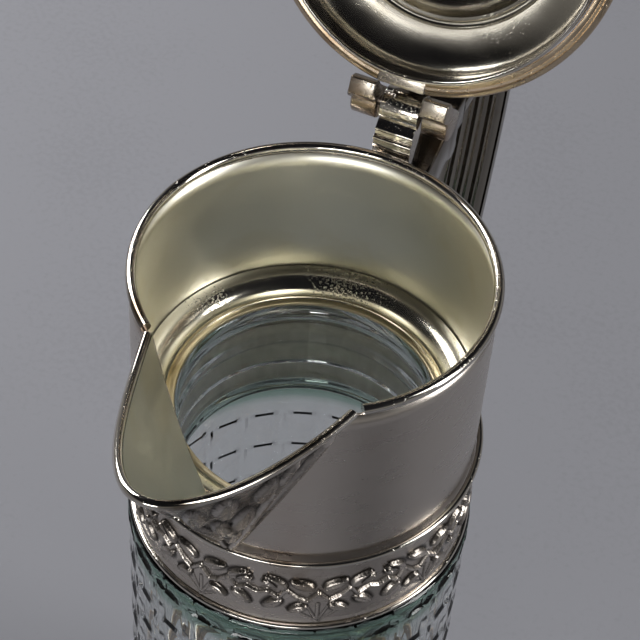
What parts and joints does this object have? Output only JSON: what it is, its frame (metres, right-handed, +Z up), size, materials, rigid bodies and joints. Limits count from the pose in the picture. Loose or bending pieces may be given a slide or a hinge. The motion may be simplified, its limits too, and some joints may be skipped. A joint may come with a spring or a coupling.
{
  "type": "lidded claret pitcher",
  "caption": "Tall glass-bodied pitcher in a plated mount, with a V-set pouring spout, a leaf-banded collar, a hinged lid standing open and a reeded loop handle.",
  "frame": {"origin": "centre of the flat base, on the surface it stands on", "axes": "+Z up, -Y towards the spout, +Y towards the handle and hinge, +X to the right for someone looking from the spout towards the handle"},
  "size_m": [0.0918, 0.1999, 0.3443],
  "materials": {
    "silver_plate": "polished silver plate, tarnished dark in the recesses",
    "worn_gilt": "worn plate over brass, satin",
    "steel_pin": "plain drawn pin, darkened",
    "clear_glass": "pressed clear glass, greenish in the thickness",
    "plaster": "set plaster",
    "cork": "cork strip"
  },
  "bodies": {
    "jug": {"glass_body": "clear_glass", "neck_cement": "plaster", "collar_wall": "silver_plate", "rim_wire": "silver_plate", "inner_ledge_ring": "worn_gilt", "upper_fillet_wire": "silver_plate", "leaf_band": "silver_plate", "lower_fillet_wire": "silver_plate", "spout_shell": "silver_plate", "spout_lip_wire": "silver_plate", "hinge_strap": "silver_plate", "hinge_pin": "steel_pin", "handle_bracket": "silver_plate", "handle_grip": "silver_plate", "handle_lower_pad": "silver_plate", "body_band": "silver_plate", "band_lining": "cork"},
    "lid": {"lid_ear_left": "worn_gilt", "lid_ear_right": "worn_gilt", "lid_rim_flange": "worn_gilt", "lid_hinge_plate": "silver_plate", "lid_bezel_ring": "worn_gilt", "lid_dome": "silver_plate", "lid_finial": "silver_plate", "finial_washer": "worn_gilt", "finial_nut": "worn_gilt", "lid_thumbpiece": "silver_plate"}
  },
  "joints": [
    {"name": "lid_hinge", "type": "hinge", "parent": "jug", "child": "lid", "pos_m": [0, 0.049, 0.2566], "axis": [1, 0, 0], "range_deg": [0, 111.5]}
  ]
}
